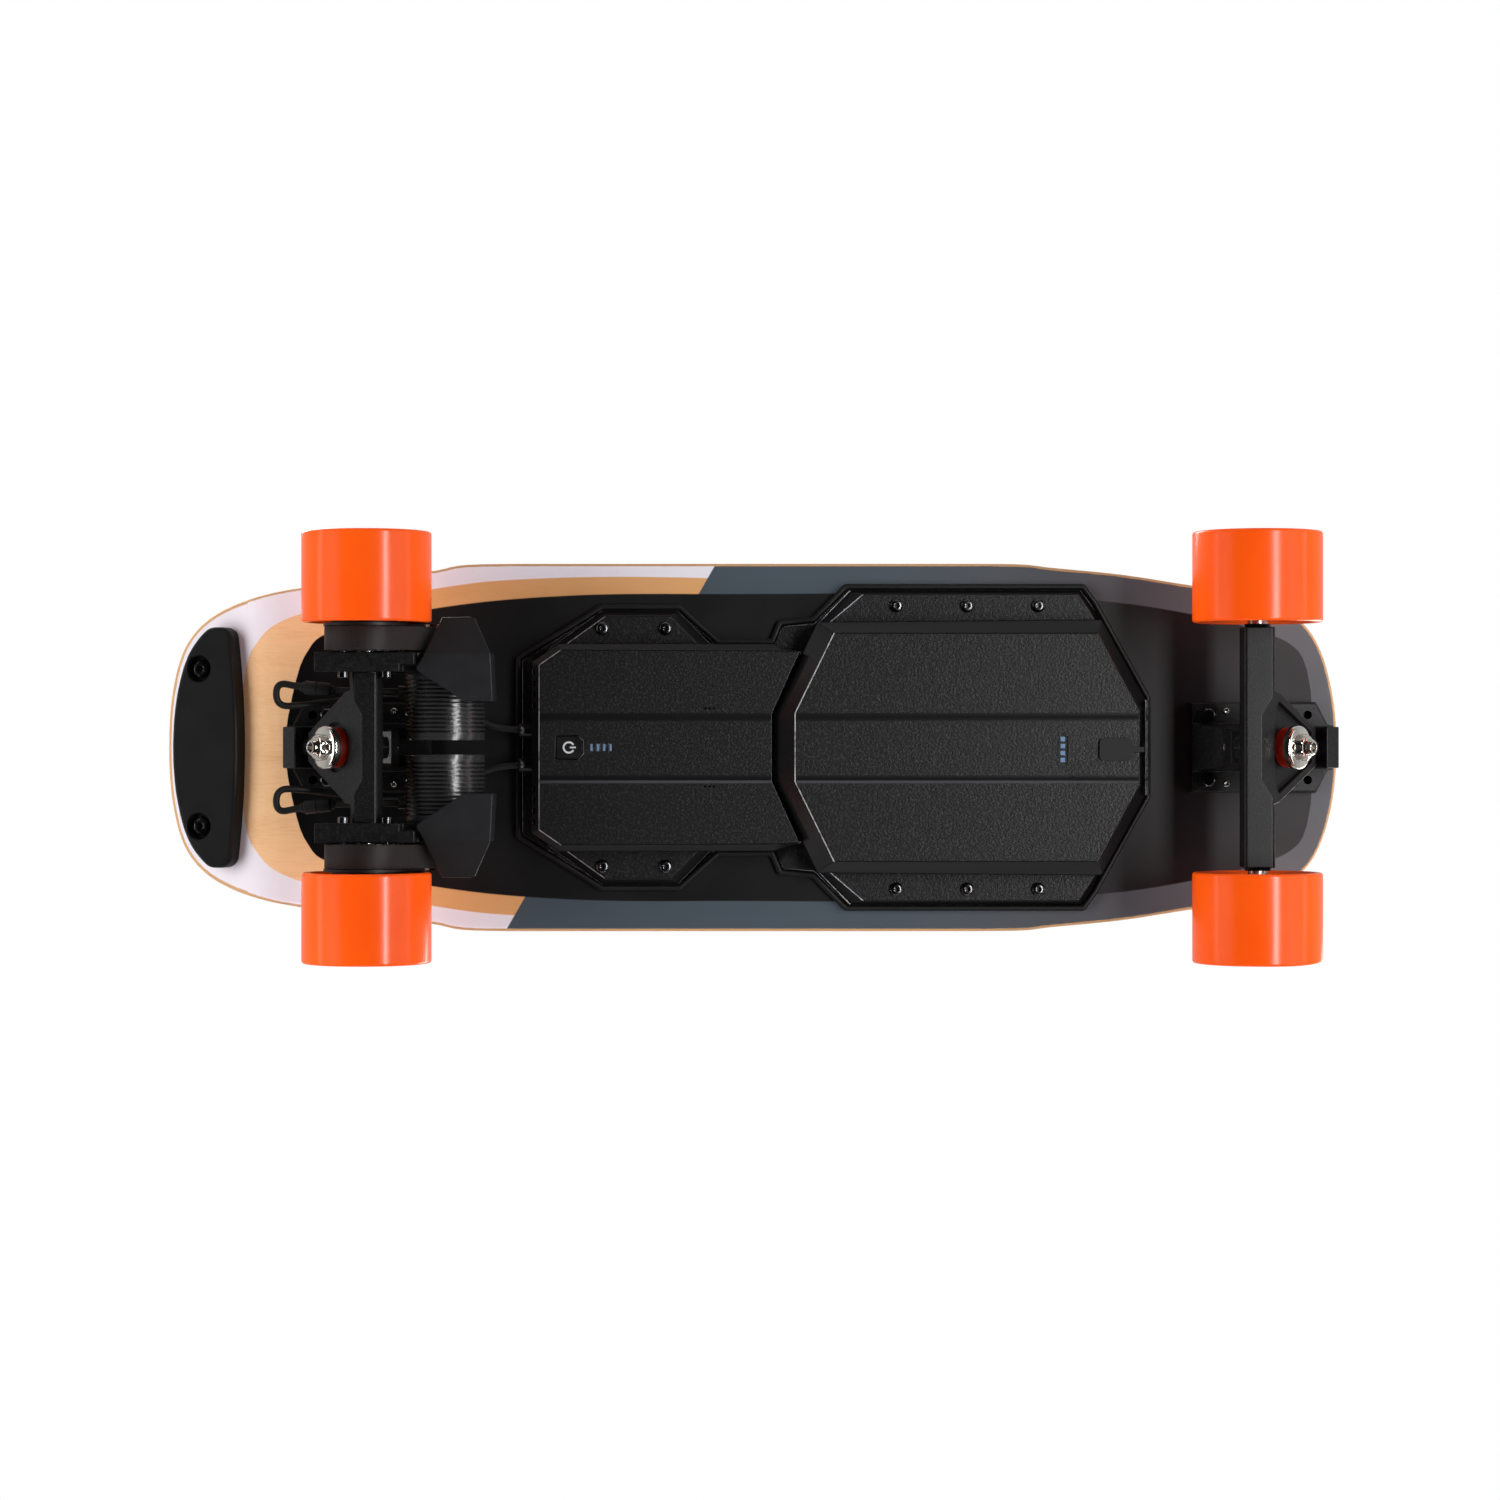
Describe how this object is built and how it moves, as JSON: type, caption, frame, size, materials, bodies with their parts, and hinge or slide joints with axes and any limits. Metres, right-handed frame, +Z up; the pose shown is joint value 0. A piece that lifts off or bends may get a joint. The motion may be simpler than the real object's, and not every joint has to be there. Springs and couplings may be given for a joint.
{
  "type": "electric skateboard",
  "caption": "Cruiser deck with a kicked tail on two steering trucks, urethane wheels, belt-driven rear wheels with a motor each, and moulded controller and battery covers underneath",
  "frame": {"origin": "on the ground below the middle of the deck's length, where the wheels stand", "axes": "+X to the nose, +Y to the rider's left, +Z up"},
  "size_m": [0.7484, 0.266, 0.1484],
  "materials": {
    "maple": "satin maple veneer",
    "grip": "gritty",
    "black_rubber": "matt",
    "tyre": "glossy urethane",
    "core": "satin",
    "black_cast": "black powder coat",
    "red_urethane": "glossy",
    "steel": "zinc plated",
    "black_steel": "black oxide",
    "nickel": "bright nickel",
    "cover": "textured moulding",
    "board_green": "solder mask",
    "cell_wrap": "shrink sleeve",
    "light": "frosted window",
    "button": "satin",
    "belt": "ribbed rubber",
    "pulley": "hard anodised"
  },
  "bodies": {
    "board": {"deck": "maple", "grip_tape": "grip", "tail_bumper": "black_rubber", "riser_pads": "black_rubber", "cover_gasket": "black_rubber", "left_motor_cable": "black_rubber", "right_motor_cable": "black_rubber", "bumper_bolts": "black_steel", "truck_bolts": "black_steel", "truck_nuts": "black_steel", "cover_screws": "black_steel", "plate_screws": "steel", "kingpins": "nickel", "kingpin_nuts": "nickel", "cup_washers": "nickel", "front_baseplate": "black_cast", "rear_baseplate": "black_cast", "pivot_cups": "red_urethane", "front_bushings": "red_urethane", "rear_bushings": "red_urethane", "controller_cover": "cover", "battery_cover": "cover", "charge_socket": "cover", "battery_board": "board_green", "speed_controller": "board_green", "battery_cells": "cell_wrap", "indicator_lights": "light"},
    "front_truck": {"front_hanger": "black_cast", "front_axle": "steel"},
    "rear_truck": {"rear_hanger": "black_cast", "rear_axle": "steel", "motor_mount_screws": "steel", "left_motor_mount": "black_cast", "left_motor_housing": "black_cast", "left_belt": "belt", "left_belt_guard": "cover", "right_motor_mount": "black_cast", "right_motor_housing": "black_cast", "right_belt": "belt", "right_belt_guard": "cover"},
    "front_left_wheel": {"front_left_tyre": "tyre", "front_left_core": "core", "front_left_bearings": "steel"},
    "front_right_wheel": {"front_right_tyre": "tyre", "front_right_core": "core", "front_right_bearings": "steel"},
    "rear_left_wheel": {"rear_left_tyre": "tyre", "rear_left_core": "core", "rear_left_bearings": "steel", "left_wheel_pulley": "pulley"},
    "rear_right_wheel": {"rear_right_tyre": "tyre", "rear_right_core": "core", "rear_right_bearings": "steel", "right_wheel_pulley": "pulley"},
    "left_rotor": {"left_motor_rotor": "steel", "left_motor_pulley": "pulley"},
    "right_rotor": {"right_motor_rotor": "steel", "right_motor_pulley": "pulley"},
    "button": {"power_button": "button"},
    "flap": {"charge_port_cover": "black_rubber"}
  },
  "joints": [
    {"name": "front_steer", "type": "hinge", "parent": "board", "child": "front_truck", "pos_m": [0.3277, 0, 0.058], "axis": [0.7071, 0, 0.7071], "range_deg": [-15, 15], "stiffness_Nm_per_rad": 30, "deforming": ["front_bushings"]},
    {"name": "rear_steer", "type": "hinge", "parent": "board", "child": "rear_truck", "pos_m": [-0.2512, 0, 0.058], "axis": [-0.7071, 0, 0.7071], "range_deg": [-15, 15], "stiffness_Nm_per_rad": 30, "deforming": ["rear_bushings", "left_motor_cable", "right_motor_cable"]},
    {"name": "front_left_spin", "type": "hinge", "parent": "front_truck", "child": "front_left_wheel", "pos_m": [0.313, 0, 0.04], "axis": [0, 1, 0], "continuous": true},
    {"name": "front_right_spin", "type": "hinge", "parent": "front_truck", "child": "front_right_wheel", "pos_m": [0.313, 0, 0.04], "axis": [0, 1, 0], "continuous": true},
    {"name": "rear_left_spin", "type": "hinge", "parent": "rear_truck", "child": "rear_left_wheel", "pos_m": [-0.2365, 0, 0.04], "axis": [0, 1, 0], "continuous": true},
    {"name": "rear_right_spin", "type": "hinge", "parent": "rear_truck", "child": "rear_right_wheel", "pos_m": [-0.2365, 0, 0.04], "axis": [0, 1, 0], "continuous": true},
    {"name": "left_motor_spin", "type": "hinge", "parent": "rear_truck", "child": "left_rotor", "pos_m": [-0.1906, 0, 0.0675], "axis": [0, 1, 0], "continuous": true},
    {"name": "right_motor_spin", "type": "hinge", "parent": "rear_truck", "child": "right_rotor", "pos_m": [-0.1906, 0, 0.0675], "axis": [0, 1, 0], "continuous": true},
    {"name": "power_press", "type": "slide", "parent": "board", "child": "button", "axis": [0, 0, 1], "range_m": [0, 0.0006], "stiffness_N_per_m": 1500},
    {"name": "flap_open", "type": "hinge", "parent": "board", "child": "flap", "pos_m": [0.2475, 0.0013, 0.0799], "axis": [0, -1, 0], "range_deg": [0, 110], "stiffness_Nm_per_rad": 0.002}
  ],
  "couplings": [
    {"joint": "left_motor_spin", "follows": "rear_left_spin", "ratio": 2.1429},
    {"joint": "right_motor_spin", "follows": "rear_right_spin", "ratio": 2.1429}
  ]
}
